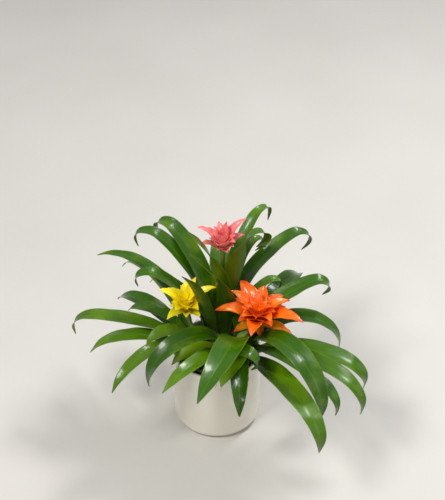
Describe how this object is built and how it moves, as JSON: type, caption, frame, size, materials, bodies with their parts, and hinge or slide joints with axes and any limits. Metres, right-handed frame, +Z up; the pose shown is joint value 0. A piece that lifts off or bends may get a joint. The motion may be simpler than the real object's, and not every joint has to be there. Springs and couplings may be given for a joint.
{
  "type": "potted bromeliad",
  "caption": "Mixed planter of orange, yellow and pink guzmania bromeliads with arching green strap leaves, in a plain cream glazed cylinder pot",
  "frame": {"origin": "centre of the pot's flat base, on the surface it stands on", "axes": "+Z up; -Y is the front, the side that faces the viewer with the orange plant to the right and the yellow plant to the left; +X is the viewer's right"},
  "size_m": [0.4985, 0.5058, 0.4071],
  "materials": {
    "pot": "satin",
    "soil": "matte",
    "moss": "matte",
    "stem": "satin",
    "leaf": "gloss",
    "orange_bracts": "gloss",
    "yellow_bracts": "satin",
    "pink_bracts": "satin"
  },
  "bodies": {
    "root": {"pot": "pot", "soil": "soil", "moss": "moss", "pink_stem": "stem", "pink_leaf_01": "leaf", "pink_leaf_02": "leaf", "pink_leaf_03": "leaf", "pink_leaf_04": "leaf", "pink_leaf_05": "leaf", "pink_leaf_06": "leaf", "pink_leaf_07": "leaf", "pink_leaf_08": "leaf", "pink_leaf_09": "leaf", "pink_leaf_10": "leaf", "pink_leaf_11": "leaf", "pink_leaf_12": "leaf", "pink_leaf_13": "leaf", "pink_bracts_lower": "pink_bracts", "pink_bracts_outer": "pink_bracts", "pink_bracts_middle": "pink_bracts", "orange_stem": "stem", "orange_leaf_01": "leaf", "orange_leaf_02": "leaf", "orange_leaf_03": "leaf", "orange_leaf_04": "leaf", "orange_leaf_05": "leaf", "orange_leaf_06": "leaf", "orange_leaf_07": "leaf", "orange_leaf_08": "leaf", "orange_leaf_09": "leaf", "orange_leaf_10": "leaf", "orange_leaf_11": "leaf", "orange_leaf_12": "leaf", "orange_leaf_13": "leaf", "orange_leaf_14": "leaf", "orange_leaf_15": "leaf", "orange_leaf_16": "leaf", "orange_bracts_lower": "orange_bracts", "orange_bracts_outer": "orange_bracts", "orange_bracts_middle": "orange_bracts", "orange_bracts_inner": "orange_bracts", "yellow_stem": "stem", "yellow_leaf_01": "leaf", "yellow_leaf_02": "leaf", "yellow_leaf_03": "leaf", "yellow_leaf_04": "leaf", "yellow_leaf_05": "leaf", "yellow_leaf_06": "leaf", "yellow_leaf_07": "leaf", "yellow_leaf_08": "leaf", "yellow_leaf_09": "leaf", "yellow_bracts_lower": "yellow_bracts", "yellow_bracts_outer": "yellow_bracts", "yellow_bracts_middle": "yellow_bracts"}
  },
  "joints": []
}
